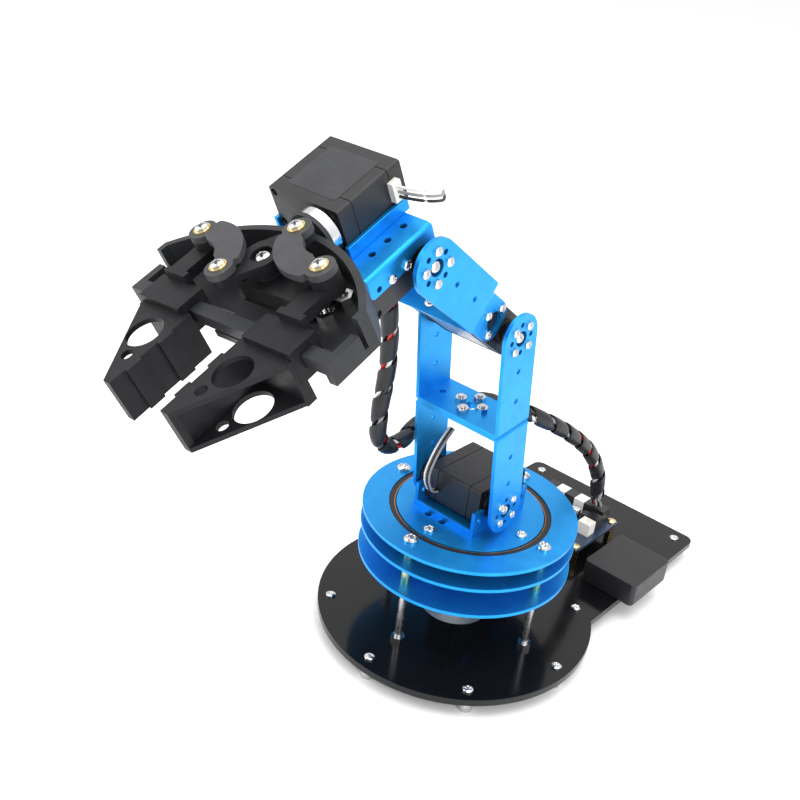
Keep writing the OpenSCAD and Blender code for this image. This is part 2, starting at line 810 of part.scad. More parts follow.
module wrist_horn_screws() {
    color([0.85, 0.85, 0.86]) at_wrist_of_fore() horn_screw_set();
}

// ---- hand ----
module wrist_servo_case() {
    color([0.06, 0.06, 0.07]) at_wrist() rotate([180, 0, 0]) shaft_side() servo_case();
}

module hand_channel() {
    color([0.12, 0.5, 0.88]) at_wrist() difference() {
        translate([0, servo_end - servo_l / 2, 0])
            bracket_shell(channel_top, 2.5, servo_l, flange_face, flange_back, 2);
        rotate([0, 90, 0]) translate([0, 0, -u_half]) cylinder(d = boss_d + 1.4, h = u_width, $fn = fine);
        cross_hole(-17.7, 4.9, m25_r + hole_gap);
        cross_hole(-8.4, 4.9, m25_r + hole_gap);
        cross_hole(-25, 5.2, 1.4);
        for (y = [-16.5, -6.9, 3]) translate([9.5, y, channel_top - 4]) cylinder(r = 1.6, h = 6, $fn = fine);
    }
}

roll_near_x = roll_x + servo_end;
roll_far_x = roll_x - far_end;

module roll_bracket() {
    front_y = -roll_face_y - boss_h;
    back_y = 13;
    side = hole_gap + sheet_t;
    color([0.12, 0.5, 0.88]) at_wrist() {
        translate([roll_far_x - side, front_y, channel_top])
            cube([servo_l + 2 * side, back_y - front_y, sheet_t]);
        for (x = [roll_far_x - side, roll_near_x + hole_gap])
            translate([x, front_y, channel_top]) cube([sheet_t, back_y - front_y, 6]);
    }
}

module hand_screws() {
    color([0.85, 0.85, 0.86]) at_wrist() {
        for (y = [-17.7, -8.4])
            translate([flange_face, y, 4.9]) rotate([0, 90, 0]) pan_screw(m25_r, 2.2, 1.7, sheet_t);
        translate([-flange_back, -17.7, 4.9]) rotate([0, -90, 0]) pan_screw(m25_r, 2.2, 1.7, sheet_t);
    }
}

module roll_servo_case() {
    color([0.06, 0.06, 0.07]) at_wrist() translate([roll_x, -roll_face_y, roll_z])
        rotate([90, 0, 0]) rotate([0, 0, 90]) servo_case(rear_bore = false);
}

plug_y = 8.5;

module servo_plug() {
    color([0.88, 0.87, 0.84]) at_wrist()
        translate([roll_near_x, plug_y - 2.4, roll_z - 4.6]) cube([3, 4.8, 9.2]);
}

// ---- tube swept along a list of points ----
function unit(v) = v / norm(v);
function tangent(p, i) = unit(p[min(i + 1, len(p) - 1)] - p[max(i - 1, 0)]);
function side_of(t) = unit(cross(t, abs(t[0]) > 0.9 ? [0, 1, 0] : [1, 0, 0]));

// the stretch of the route p from point number "from" to point number "to"
module sweep_tube(p, r, sides, from = 0, to = -1) {
    last = to < 0 ? len(p) - 1 : to;
    n = last - from + 1;
    rings = [for (i = [from:last]) let (t = tangent(p, i), a = side_of(t), b = cross(t, a))
        for (k = [0:sides - 1]) p[i] + r * (cos(360 * k / sides) * a + sin(360 * k / sides) * b)];
    quads = [for (i = [0:n - 2], k = [0:sides - 1]) let (m = (k + 1) % sides)
        [i * sides + k, i * sides + m, (i + 1) * sides + m, (i + 1) * sides + k]];
    low_cap = [for (k = [0:sides - 1]) sides - 1 - k];
    high_cap = [for (k = [0:sides - 1]) (n - 1) * sides + k];
    polyhedron(points = rings, faces = concat([low_cap], quads, [high_cap]), convexity = 6);
}

// points between two ends on a smooth curve through all of them
function spline_point(p, i, u) = let (a = p[max(i - 1, 0)], b = p[i], c = p[i + 1],
    d = p[min(i + 2, len(p) - 1)])
    0.5 * (2 * b + (c - a) * u + (2 * a - 5 * b + 4 * c - d) * u * u + (3 * b - a - 3 * c + d) * u * u * u);
function smooth_path(p, steps) = concat([for (i = [0:len(p) - 2], s = [0:steps - 1])
    spline_point(p, i, s / steps)], [p[len(p) - 1]]);

lead_path = smooth_path([[-14, -17.2, 90], [-14, -23, 93], [-14, -27, 104], [-13, -22, 118],
    [-13, -12, 128]], 3);

module servo_lead() {
    color([0.85, 0.85, 0.86]) at_wrist() for (i = [0:2])
        translate([roll_near_x + 3, plug_y, roll_z - 2.5 + i * 2.5])
            sweep_tube(smooth_path([[0, 0, 0], [6, 1, 0], [13, 3, 0], [17, 7, -1], [14, 11, -2]],
                3), 0.65, 8);
}

// ---- gripper ----
module roll_horn() {
    color([0.85, 0.85, 0.86]) at_roll() rotate([90, 0, 0]) translate([0, 0, roll_face_y]) difference() {
        union() {
            translate([0, 0, -3]) cylinder(d = shaft_d, h = 8, $fn = fine);
            translate([0, 0, boss_h + run_gap]) cylinder(d = horn_d + 1, h = 4.6, $fn = fine);
        }
        at_angles(4, 45) translate([horn_pcd / 2, 0, 0]) cylinder(r = m25_r, h = 9, $fn = fine);
    }
}

module frame_outline(inset) {
    intersection() {
        translate([0, -arc_y]) circle(frame_back_r - inset, $fn = 180);
        translate([-frame_half_w + inset, -rail_front + (inset > 0 ? 0 : 0)])
            square([2 * (frame_half_w - inset), 80]);
    }
}

module gripper_frame() {
    color([0.1, 0.1, 0.11]) at_roll() difference() {
        union() {
            // floor
            translate([0, 0, tray_z]) linear_extrude(tray_t) frame_outline(0);
            // rim
            translate([0, 0, tray_z]) linear_extrude(rim_top - tray_z) difference() {
                frame_outline(0);
                frame_outline(3);
                translate([-frame_half_w - 1, -rail_front - 1]) square([2 * frame_half_w + 2, 19]);
            }
            // end posts and rail
            for (sx = [-1, 1]) translate([sx * (frame_half_w - 2) - 2, -rail_front, tray_z])
                cube([4, 16, rail_top - tray_z]);
            translate([-frame_half_w, -rail_front, rail_top - rail_h + 1])
                cube([2 * frame_half_w, rail_front - rail_back, rail_h - 1]);
            // back boss, bolted to the roll horn
            translate([0, -grip_back, 0]) rotate([90, 0, 0]) {
                cylinder(r = 11, h = 2, $fn = 96);
                cylinder(r = 6, h = 6, $fn = 96);
            }
        }
        // pocket for the gripper servo
        translate([-servo_end - run_gap, -crank_axis_y - half_t - run_gap, tray_z - 1])
            cube([servo_l + 2 * run_gap, servo_t + 2 * run_gap, 30]);
        // slots for the finger saddles, open below the rail
        for (sx = [-1, 1]) translate([sx * 33 - 25, -rail_front - 1, tray_z - 1])
            cube([50, rail_front - rail_back + 6, 3 + tray_t - 1]);
        for (x = [-servo_end - lug_span, far_end + lug_span], y = [-lug_gap / 2, lug_gap / 2])
            translate([x, -crank_axis_y + y, tray_z - 1]) cylinder(r = 2.1, h = tray_t + 2, $fn = fine);
    }
}

module gripper_servo_case() {
    lug = 7;
    color([0.07, 0.07, 0.08]) at_roll() translate([0, -crank_axis_y, grip_servo_top]) rotate([0, 0, -90]) {
        difference() {
            union() {
                servo_case(rear_bore = false);
                translate([-half_t, -servo_end - lug, tray_z - grip_servo_top - 2.6])
                    cube([servo_t, servo_l + 2 * lug, 2.5]);
            }
            for (y = [-servo_end - lug_span, far_end + lug_span], x = [-lug_gap / 2, lug_gap / 2])
                translate([x, y, tray_z - grip_servo_top - 4]) cylinder(r = 2.1, h = 5, $fn = fine);
            translate([0, 0, -4]) cylinder(d = shaft_d + 2 * shaft_gap, h = 8, $fn = fine);
        }
    }
}

module gripper_nuts() {
    color([0.85, 0.85, 0.84]) at_roll() for (x = [-servo_end - lug_span, far_end + lug_span],
        y = [-lug_gap / 2, lug_gap / 2]) translate([x, -crank_axis_y + y, 0]) {
        translate([0, 0, tray_z + tray_t]) hex_nut(7, 3.2, 2.05);
        translate([0, 0, tray_z - 2.6 - 2.2]) cylinder(r = 1.95, h = 10, $fn = fine);
        translate([0, 0, tray_z - 2.6 - 2.2]) cylinder(r = 3.6, h = 2.1, $fn = fine);
    }
}

crank_hub_r = 9;
crank_end_r = 5.5;
screw_sink = 2.2;

module gripper_crank() {
    color([0.12, 0.12, 0.13]) at_roll() translate([0, -crank_axis_y, 0]) rotate([0, 0, crank_angle]) {
        difference() {
            union() {
                translate([0, 0, grip_servo_top - 3]) cylinder(d = shaft_d, h = 6, $fn = fine);
                translate([0, 0, grip_servo_top + boss_h + run_gap])
                    cylinder(r = 8, h = crank_z - grip_servo_top - boss_h - run_gap + crank_t, $fn = fine);
                translate([0, 0, crank_z]) linear_extrude(crank_t) {
                    circle(crank_hub_r, $fn = 96);
                    polygon([[crank_r, crank_end_r], [0, crank_hub_r], [-crank_r, crank_end_r],
                        [-crank_r, -crank_end_r], [0, -crank_hub_r], [crank_r, -crank_end_r]]);
                    for (x = [-crank_r, crank_r]) translate([x, 0]) circle(crank_end_r, $fn = fine);
                }
            }
            for (x = [-crank_r, crank_r]) translate([x, 0, crank_z - 1])
                cylinder(r = m3_r, h = crank_t + 2, $fn = fine);
            for (x = [-crank_r + 6, crank_r - 6]) translate([x, 0, crank_z - 1])
                cylinder(r = 0.8, h = crank_t + 2, $fn = fine);
            translate([0, 0, crank_z + crank_t - screw_sink]) cylinder(r = 4.6, h = 3, $fn = fine);
        }
        translate([0, 0, crank_z + crank_t - screw_sink]) pan_screw(1.4, 3.1, screw_sink - 0.2, 1);
    }
}

// one side's parts are drawn for the +X finger; the other side is turned half round the crank axis
module other_side() {
    translate([0, -crank_axis_y, 0]) rotate([0, 0, 180]) translate([0, crank_axis_y, 0]) children();
}

jaw_out = 30.3;
tooth = 1.5;
arm_top = link_z - run_gap;
finger_arm_low = grip_servo_top + run_gap;
finger_arm_high = crank_z - 2 * run_gap;

module jaw_outline() {
    w_back = jaw_out;
    polygon([[0, 0], [0, -jaw_len], [4.3, -jaw_len], [w_back, -1], [w_back, 0]]);
}

// jaw with its inner face at x = jaw_half_gap, from the saddle's front
module finger() {
    y0 = -saddle_front;
    difference() {
        union() {
            translate([jaw_half_gap, y0, jaw_top - jaw_h]) {
                // top and bottom plates, inner wall, rear wall and tip
                linear_extrude(jaw_wall) jaw_outline();
                translate([0, 0, jaw_h - jaw_wall]) linear_extrude(jaw_wall) jaw_outline();
                translate([0, -jaw_len, 0]) cube([jaw_wall + 0.6, jaw_len, jaw_h]);
                translate([0, -jaw_wall, 0]) cube([jaw_out, jaw_wall, jaw_h]);
                translate([0, -jaw_len, 0]) cube([4.3, 3, jaw_h]);
            }
            // raised teeth on the inner face
            for (i = [0, 2]) translate([jaw_half_gap - tooth, y0 - 8.1 * i - 15, jaw_top - jaw_h])
                cube([tooth + 0.5, 7.4, jaw_h]);
            // saddle around the rail
            translate([20.5, y0, rail_top - rail_h - 4])
                cube([27, saddle_front - saddle_back, saddle_top - rail_top + rail_h + 4]);
            translate([jaw_half_gap, y0 - 0.5, jaw_top - jaw_h]) cube([jaw_out, 3, jaw_h]);
            // arm back to the pivot
            translate([pivot_x - 7, -saddle_back - 1, rail_top - 3])
                cube([14, 3, finger_arm_high - rail_top + 3]);
            translate([pivot_x - 5, -saddle_back, finger_arm_low])
                cube([10, saddle_back - crank_axis_y, finger_arm_high - finger_arm_low]);
            translate([pivot_x, -crank_axis_y, finger_arm_low])
                cylinder(r = 6, h = arm_top - finger_arm_low, $fn = fine);
        }
        // rail slot
        translate([0, -rail_front - run_gap, rail_top - rail_h + 1 - run_gap])
            cube([80, rail_front - rail_back + 2 * run_gap, rail_h - 1 + 2 * run_gap]);
        // holes through the top and bottom plates
        translate([jaw_half_gap + 11.6, y0 - 12.9, -40]) cylinder(r = 8.2, h = 60, $fn = fine);
        translate([jaw_half_gap + 7.4, y0 - 25, -40]) cylinder(r = 2.6, h = 60, $fn = fine);
        translate([pivot_x, -crank_axis_y, -20]) cylinder(r = m3_r + shaft_gap, h = 60, $fn = fine);
    }
}

module right_finger() {
    color([0.17, 0.18, 0.18]) at_roll() finger();
}

module left_finger() {
    color([0.17, 0.18, 0.18]) at_roll() mirror([1, 0, 0]) finger();
}

// link from the crank's end to the finger's pivot, bowed towards the crank axis
module link_shape() {
    a = [crank_r * cos(crank_angle), crank_r * sin(crank_angle)];
    b = [pivot_x, 0];
    mid = (a + b) / 2;
    across = unit([b[1] - a[1], a[0] - b[0]]);
    half = norm(b - a) / 2;
    bow_r = (half * half + link_bow * link_bow) / (2 * link_bow);
    centre = mid - across * sqrt(bow_r * bow_r - half * half);
    intersection() {
        translate(centre) difference() {
            circle(bow_r + link_w / 2, $fn = 96);
            circle(bow_r - link_w / 2, $fn = 96);
        }
        translate(mid) rotate([0, 0, atan2(b[1] - a[1], b[0] - a[0])])
            translate([-half, -40]) square([2 * half, 40]);
    }
    translate(a) circle(link_w / 2, $fn = fine);
    translate(b) circle(link_w / 2, $fn = fine);
}

module link_with_screws() {
    a = [crank_r * cos(crank_angle), crank_r * sin(crank_angle)];
    b = [pivot_x, 0];
    translate([0, -crank_axis_y, 0]) {
        color([0.13, 0.13, 0.14]) translate([0, 0, link_z]) linear_extrude(link_t) difference() {
            link_shape();
            translate(a) circle(m3_r + hole_gap, $fn = fine);
            translate(b) circle(m3_r + hole_gap, $fn = fine);
        }
        for (p = [a, b]) translate([p[0], p[1], link_z + link_t]) {
            color([0.85, 0.7, 0.35]) difference() {
                cylinder(r = 3.6, h = 0.5, $fn = fine);
                translate([0, 0, -1]) cylinder(r = m3_r + hole_gap, h = 3, $fn = fine);
            }
        }
        color([0.85, 0.85, 0.86]) translate([a[0], a[1], link_z + link_t + 0.5])
            pan_screw(m3_r, 2.75, 1.8, link_t);
        color([0.85, 0.85, 0.86]) translate([b[0], b[1], link_z + link_t + 0.5])
            pan_screw(m3_r, 2.75, 1.8, link_t + 6);
    }
}

module right_link() {
    at_roll() link_with_screws();
}

module left_link() {
    at_roll() other_side() link_with_screws();
}

// ---- cable loom ----
// route from the board, up behind the arm, round its side and on to the wrist
loom_points = [[20, 109, 50], [20, 107, 60], [20, 101, 74], [19, 86, 93], [17, 62, 112], [12, 38, 127],
    [2, 24, 134],
    [-14, 20, 133], [-28, 14, 128], [-36, 2, 122], [-37, -12, 117], [-34, -24, 115],
    [-34, -36, 115], [-34, -45, 124], [-34, -46, 142], [-34, -44, 162], [-34, -45, 182],
    [-34, -49, 202], [-35, -56, 220], [-37, -66, 236], [-42, -80, 250], [-46, -98, 254]];
loom_steps = 2;
loom_path = smooth_path(loom_points, loom_steps);
// numbers of the points where one stretch ends and the next begins
loom_cuts = [0, 6, 11, 17, 21];
loom_r = 5;

module loom(part) {
    color([0.04, 0.04, 0.05])
        sweep_tube(loom_path, loom_r, 10, loom_cuts[part] * loom_steps, loom_cuts[part + 1] * loom_steps);
}

module loom_base() {
    loom(0);
}

module loom_shoulder() {
    loom(1);
}

module loom_elbow() {
    loom(2);
}

module loom_wrist() {
    loom(3);
}

base_plate();
foot_standoffs();
foot_screws();
tie_rods();
tie_rod_nuts();
rod_spacers();
lower_disc();
middle_disc();
top_ring();
ring_screws();
outer_race();
bearing_balls();
base_servo_case();
controller_board();
board_standoffs();
board_parts();
receiver_case();
wire_ribbons();
inner_race();
turntable_disc();
turntable_screws();
base_servo_horn();
drive_hub();
shoulder_bracket();
shoulder_servo_case();
shoulder_leads();
lower_u_bracket();
upper_u_bracket();
web_bolts();
web_nuts();
shoulder_horns();
shoulder_horn_screws();
elbow_horns();
elbow_horn_screws();
elbow_servo_case();
elbow_bracket();
forearm_screws();
forearm_u_bracket();
wrist_horns();
wrist_horn_screws();
wrist_servo_case();
hand_channel();
roll_bracket();
hand_screws();
roll_servo_case();
servo_plug();
servo_lead();
roll_horn();
gripper_frame();
gripper_servo_case();
gripper_nuts();
gripper_crank();
right_finger();
left_finger();
right_link();
left_link();
loom_base();
loom_shoulder();
loom_elbow();
loom_wrist();
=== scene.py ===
"""Desktop servo arm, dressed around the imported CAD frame.

Places and sizes written here are in millimetres, and MM turns them into the scene's metres.
"""
import json
import math

import bmesh
import bpy
from mathutils import Matrix, Vector


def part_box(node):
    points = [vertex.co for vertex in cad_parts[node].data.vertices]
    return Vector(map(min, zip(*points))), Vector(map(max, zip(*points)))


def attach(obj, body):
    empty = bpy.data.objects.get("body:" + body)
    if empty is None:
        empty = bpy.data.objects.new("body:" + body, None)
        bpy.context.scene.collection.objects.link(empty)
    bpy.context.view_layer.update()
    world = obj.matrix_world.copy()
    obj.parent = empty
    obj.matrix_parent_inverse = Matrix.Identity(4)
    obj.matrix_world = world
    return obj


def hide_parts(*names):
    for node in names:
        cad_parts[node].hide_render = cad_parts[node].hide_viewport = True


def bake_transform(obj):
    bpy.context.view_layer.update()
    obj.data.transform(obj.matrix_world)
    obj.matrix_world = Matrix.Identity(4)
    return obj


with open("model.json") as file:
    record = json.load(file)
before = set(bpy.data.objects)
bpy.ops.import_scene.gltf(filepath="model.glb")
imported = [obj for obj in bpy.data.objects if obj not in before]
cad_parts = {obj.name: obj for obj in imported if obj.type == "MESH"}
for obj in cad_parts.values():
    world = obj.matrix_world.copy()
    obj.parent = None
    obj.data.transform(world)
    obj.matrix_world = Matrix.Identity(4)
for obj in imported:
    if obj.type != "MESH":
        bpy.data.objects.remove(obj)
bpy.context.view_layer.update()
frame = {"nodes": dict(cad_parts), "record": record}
nodes = frame["nodes"]

MM = 0.001
STANDARD_ANGLE = math.radians(32)
ROUND_ANGLE = math.radians(50)
SCREW_ANGLE = math.radians(40)
MERGE_DISTANCE = 2e-6
FLAT_ANGLE = math.radians(0.6)

# ---------------------------------------------------------------- camera
CAMERA_AT = Vector((272.3, -409.2, 395.05)) * MM
AZIMUTH, ELEVATION, ROLL = math.radians(38.99), math.radians(27.56), math.radians(6.88)
LENS = 47.04


def camera_matrix(place, azimuth, elevation, roll):
    back = Vector((
        math.sin(azimuth) * math.cos(elevation),
        -math.cos(azimuth) * math.cos(elevation),
        math.sin(elevation),
    ))
    right = (-back).cross(Vector((0, 0, 1))).normalized()
    up = right.cross(-back)
    turned_right = math.cos(roll) * right + math.sin(roll) * up
    turned_up = -math.sin(roll) * right + math.cos(roll) * up
    matrix = Matrix((turned_right, turned_up, back)).transposed().to_4x4()
    matrix.translation = place
    return matrix


def make_camera():
    data = bpy.data.cameras.new("camera")
    data.sensor_width = 36
    data.lens = LENS
    data.clip_start = 0.01
    data.clip_end = 20
    camera = bpy.data.objects.new("camera", data)
    bpy.context.scene.collection.objects.link(camera)
    camera.matrix_world = camera_matrix(CAMERA_AT, AZIMUTH, ELEVATION, ROLL)
    bpy.context.scene.camera = camera


make_camera()


# ---------------------------------------------------------------- materials
def new_material(name):
    material = bpy.data.materials.new(name)
    material.use_nodes = True
    tree = material.node_tree
    return material, tree, tree.nodes["Principled BSDF"]


def add_node(tree, kind, **values):
    node = tree.nodes.new(kind)
    for key, value in values.items():
        if hasattr(node, key):
            setattr(node, key, value)
        else:
            node.inputs[key.replace("_", " ")].default_value = value
    return node


def object_coordinates(tree):
    return add_node(tree, "ShaderNodeTexCoord").outputs["Object"]


def noise_texture(tree, scale, detail=3.0, roughness=0.5):
    node = add_node(tree, "ShaderNodeTexNoise")
    node.inputs["Scale"].default_value = scale
    node.inputs["Detail"].default_value = detail
    node.inputs["Roughness"].default_value = roughness
    tree.links.new(object_coordinates(tree), node.inputs["Vector"])
    return node.outputs["Fac"]


def ramp(tree, factor, low, high, low_at=0.3, high_at=0.7):
    """A colour ramp between two colours or two greys."""
    node = add_node(tree, "ShaderNodeValToRGB")
    for element, place, value in zip(node.color_ramp.elements, (low_at, high_at), (low, high)):
        element.position = place
        element.color = (*value, 1) if isinstance(value, tuple) else (value, value, value, 1)
    tree.links.new(factor, node.inputs["Fac"])
    return node.outputs["Color"]


def add_bump(tree, shader, height, distance_mm, strength=1.0):
    node = add_node(tree, "ShaderNodeBump")
    node.inputs["Distance"].default_value = distance_mm * MM
    node.inputs["Strength"].default_value = strength
    tree.links.new(height, node.inputs["Height"])
    tree.links.new(node.outputs["Normal"], shader.inputs["Normal"])


def surface(name, low, high, roughness, metallic=0.0, grain=1800, grain_mm=0.02, wear=90,
            coat=0.0, coat_roughness=0.1, specular=0.5, sheen=0.0):
    """A finish with slow colour variation, a roughness that varies with it, and fine grain."""
    material, tree, shader = new_material(name)
    tree.links.new(ramp(tree, noise_texture(tree, wear), low, high), shader.inputs["Base Color"])
    rough = ramp(tree, noise_texture(tree, wear * 2.3, 5.0), roughness[0], roughness[1])
    tree.links.new(rough, shader.inputs["Roughness"])
    shader.inputs["Metallic"].default_value = metallic
    shader.inputs["Coat Weight"].default_value = coat
    shader.inputs["Coat Roughness"].default_value = coat_roughness
    shader.inputs["Specular IOR Level"].default_value = specular
    shader.inputs["Sheen Weight"].default_value = sheen
    add_bump(tree, shader, noise_texture(tree, grain, 2.0), grain_mm)
    return material


ANODISED = surface("anodised", (0.012, 0.30, 0.74), (0.018, 0.345, 0.82), (0.34, 0.42), metallic=0.80,
                   grain=5200, grain_mm=0.012)
ACRYLIC = surface("acrylic", (0.0035, 0.0035, 0.004), (0.005, 0.005, 0.006), (0.12, 0.18), grain=60,
                  grain_mm=0.01, coat=0.08, coat_roughness=0.04, specular=0.3)
SERVO = surface("servo_plastic", (0.007, 0.007, 0.009), (0.011, 0.011, 0.013), (0.40, 0.50), grain=2600,
                grain_mm=0.03)
MOULDED = surface("moulded_plastic", (0.0065, 0.007, 0.0085), (0.011, 0.0115, 0.013), (0.42, 0.54),
                  grain=1500, grain_mm=0.04, specular=0.2)
LINK_PLASTIC = surface("link_plastic", (0.036, 0.037, 0.040), (0.048, 0.049, 0.052), (0.42, 0.54),
                       grain=1500, grain_mm=0.04, specular=0.35)
FRAME_PLASTIC = surface("frame_plastic", (0.014, 0.015, 0.017), (0.022, 0.023, 0.026), (0.40, 0.52),
                        grain=1500, grain_mm=0.04, specular=0.35)
STEEL = surface("steel", (0.62, 0.61, 0.60), (0.74, 0.73, 0.72), (0.14, 0.24), metallic=1.0, grain=900,
                grain_mm=0.004)
ROD = surface("rod", (0.50, 0.50, 0.51), (0.62, 0.62, 0.63), (0.22, 0.32), metallic=1.0, grain=1400,
              grain_mm=0.006)
SPACER = surface("spacer", (0.72, 0.56, 0.27), (0.82, 0.66, 0.34), (0.20, 0.30), metallic=1.0, grain=900,
                 grain_mm=0.004)
RACE = surface("race", (0.008, 0.008, 0.009), (0.016, 0.016, 0.018), (0.34, 0.46), metallic=0.2, grain=1800,
               grain_mm=0.01)
HORN = surface("horn", (0.66, 0.66, 0.68), (0.78, 0.78, 0.80), (0.20, 0.30), metallic=1.0, grain=1600,
               grain_mm=0.006)
DARK_HORN = surface("dark_horn", (0.010, 0.010, 0.012), (0.018, 0.018, 0.020), (0.30, 0.42), metallic=0.4,
                    grain=1600, grain_mm=0.006)
COPPER = surface("copper", (0.50, 0.22, 0.11), (0.62, 0.28, 0.15), (0.24, 0.34), metallic=1.0, grain=900,
                 grain_mm=0.004)
BOARD = surface("board", (0.012, 0.026, 0.060), (0.018, 0.036, 0.080), (0.30, 0.42), grain=700,
                grain_mm=0.02, coat=0.4)
CHIP = surface("chip", (0.010, 0.010, 0.011), (0.020, 0.020, 0.022), (0.38, 0.50), grain=2400, grain_mm=0.02)
LABEL = surface("label", (0.020, 0.021, 0.024), (0.028, 0.029, 0.032), (0.22, 0.30), grain=1200,
                grain_mm=0.01)
FOIL = surface("foil", (0.30, 0.31, 0.33), (0.40, 0.41, 0.43), (0.24, 0.34), metallic=0.6, grain=1200,
               grain_mm=0.01)
WRAP = surface("wrap", (0.009, 0.010, 0.012), (0.016, 0.017, 0.020), (0.30, 0.42), grain=900,
               grain_mm=0.03, wear=160, specular=0.35)
WIRE_BLACK = surface("wire_black", (0.010, 0.010, 0.011), (0.018, 0.018, 0.019), (0.34, 0.44), grain=900)
WIRE_RED = surface("wire_red", (0.42, 0.018, 0.015), (0.52, 0.026, 0.022), (0.34, 0.44), grain=900)
WIRE_WHITE = surface("wire_white", (0.66, 0.65, 0.63), (0.76, 0.75, 0.73), (0.34, 0.44), grain=900)
WIRE_GREY = surface("wire_grey", (0.22, 0.22, 0.23), (0.30, 0.30, 0.31), (0.34, 0.44), grain=900)
PLUG = surface("plug", (0.72, 0.70, 0.64), (0.80, 0.78, 0.72), (0.34, 0.46), grain=1400)
STRANDS = [WIRE_BLACK, WIRE_RED, WIRE_WHITE, WIRE_BLACK, WIRE_GREY]

NODE_MATERIAL = {
    "black_acrylic": ACRYLIC,
    "steel_rod": ROD,
    "steel_fastener": STEEL,
    "brass": SPACER,
    "blue_aluminium": ANODISED,
    "bearing_steel": RACE,
    "servo_plastic": SERVO,
    "horn_aluminium": HORN,
    "board": BOARD,
    "wire": WIRE_WHITE,
    "plug_white": PLUG,
    "loom": WRAP,
    "gripper_plastic": MOULDED,
}
node_slot = {part["node"]: part["material_slot"] for part in frame["record"]["subparts"]}
node_body = {n: body for body, group in frame["record"]["behaviour"]["bodies"].items() for n in group}


def set_material(obj, material):
    obj.data.materials.clear()
    obj.data.materials.append(material)


# ---------------------------------------------------------------- mesh helpers
def finish_mesh(name, bm, material, body=None, angle=STANDARD_ANGLE):
    """Turns a bmesh into a piece with smooth faces and sharp creases."""
    mesh = bpy.data.meshes.new(name)
    bm.to_mesh(mesh)
    bm.free()
    for polygon in mesh.polygons:
        polygon.use_smooth = True
    mesh.set_sharp_from_angle(angle=angle)
    obj = bpy.data.objects.new(name, mesh)
    bpy.context.scene.collection.objects.link(obj)
    for entry in material if isinstance(material, list) else [material]:
        mesh.materials.append(entry)
    weighted = obj.modifiers.new("normals", "WEIGHTED_NORMAL")
    weighted.keep_sharp = True
    if body:
        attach(obj, body)
    return obj


def islands(bm):
    """The separate solids of a mesh, each a list of faces."""
    bm.faces.ensure_lookup_table()
    seen = set()
    groups = []
    for start in bm.faces:
        if start.index in seen:
            continue
        seen.add(start.index)
        group = [start]
        for face in group:
            for edge in face.edges:
                for other in edge.link_faces:
                    if other.index not in seen:
                        seen.add(other.index)
                        group.append(other)
        groups.append(group)
    return groups


def node_mesh(node):
    bm = bmesh.new()
    bm.from_mesh(nodes[node].data)
    bmesh.ops.remove_doubles(bm, verts=bm.verts, dist=MERGE_DISTANCE)
    bm.verts.index_update()
    bm.faces.index_update()
    return bm


def island_materials(node, materials):
    """A copy of a CAD node whose separate solids take the materials in turn."""
    bm = node_mesh(node)
    for i, group in enumerate(islands(bm)):
        for face in group:
            face.material_index = i % len(materials)
    piece = finish_mesh(node + "_body", bm, materials, node_body[node])
    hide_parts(node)
    return piece


def island_axis(group):
    """The direction of a turned part: the one that its flat ends face."""
    sums = []
    for face in group:
        normal = face.normal
        for entry in sums:
            if abs(entry[0].dot(normal)) > 0.9995:
                entry[1] += face.calc_area()
                break
        else:
            sums.append([normal.copy(), face.calc_area()])
    return max(sums, key=lambda entry: entry[1])[0]


def turned_shape(group):
    """Centre, axis towards the head, and the head's and shank's sizes of one CAD screw, in metres."""
    axis = island_axis(group)
    points = list({v.index: v.co for f in group for v in f.verts}.values())
    side = axis.orthogonal().normalized()
    other = axis.cross(side)
    mid = [(min(p.dot(d) for p in points) + max(p.dot(d) for p in points)) / 2 for d in (side, other)]
    centre = side * mid[0] + other * mid[1]
    radial = [(p - centre - axis * (p - centre).dot(axis)).length for p in points]
    along = [(p - centre).dot(axis) for p in points]
    head_r = max(radial)
    head_along = [a for a, q in zip(along, radial) if q > 0.9 * head_r]
    if max(along) - min(along) < head_r:
        end_r = [max(q for a, q in zip(along, radial) if abs(a - end) < 0.02 * MM)
                 for end in (min(along), max(along))]
        turned_over = end_r[1] > end_r[0]
    else:
        turned_over = sum(head_along) / len(head_along) < (min(along) + max(along)) / 2
    if turned_over:
        axis = -axis
        along = [-a for a in along]
        head_along = [-a for a in head_along]
    base = min(head_along)
    shank = [q for a, q in zip(along, radial) if a < base - 1e-5]
    return centre, axis, side, head_r, base, max(along), min(along), max(shank) if shank else 0.0


HEAD_RINGS = 11
HEAD_SIDES = 40
RECESS_HALF_WIDTH = 0.15
RECESS_REACH = 0.58


def head_into(bm, centre, axis, side, head_r, base, top, dome, material_index=0):
    """A screw head with a cross recess: rings from the rim to the middle."""
    other = axis.cross(side)
    height = top - base
    rings = []
    for i in range(HEAD_RINGS + 1):
        t = 1 - i / (HEAD_RINGS + 0.6)
        ring = []
        for k in range(HEAD_SIDES):
            turn = 2 * math.pi * k / HEAD_SIDES
            x, y = t * math.cos(turn), t * math.sin(turn)
            z = base + height * ((1 - dome) + dome * (1 - t ** 3))
            near, far = min(abs(x), abs(y)), max(abs(x), abs(y))
            if near < RECESS_HALF_WIDTH and far < RECESS_REACH:
                z -= 0.5 * height * (1 - far)
            ring.append(bm.verts.new(centre + axis * z + head_r * (x * side + y * other)))
        rings.append(ring)
    bottom = [bm.verts.new(centre + axis * base + (v.co - centre - axis * (v.co - centre).dot(axis)))
              for v in rings[0]]
    faces = []
    for outer, inner in [(bottom, rings[0])] + list(zip(rings, rings[1:])):
        for k in range(HEAD_SIDES):
            m = (k + 1) % HEAD_SIDES
            faces.append(bm.faces.new((outer[k], outer[m], inner[m], inner[k])))
    faces.append(bm.faces.new(rings[-1]))
    faces.append(bm.faces.new(list(reversed(bottom))))
    for face in faces:
        face.material_index = material_index


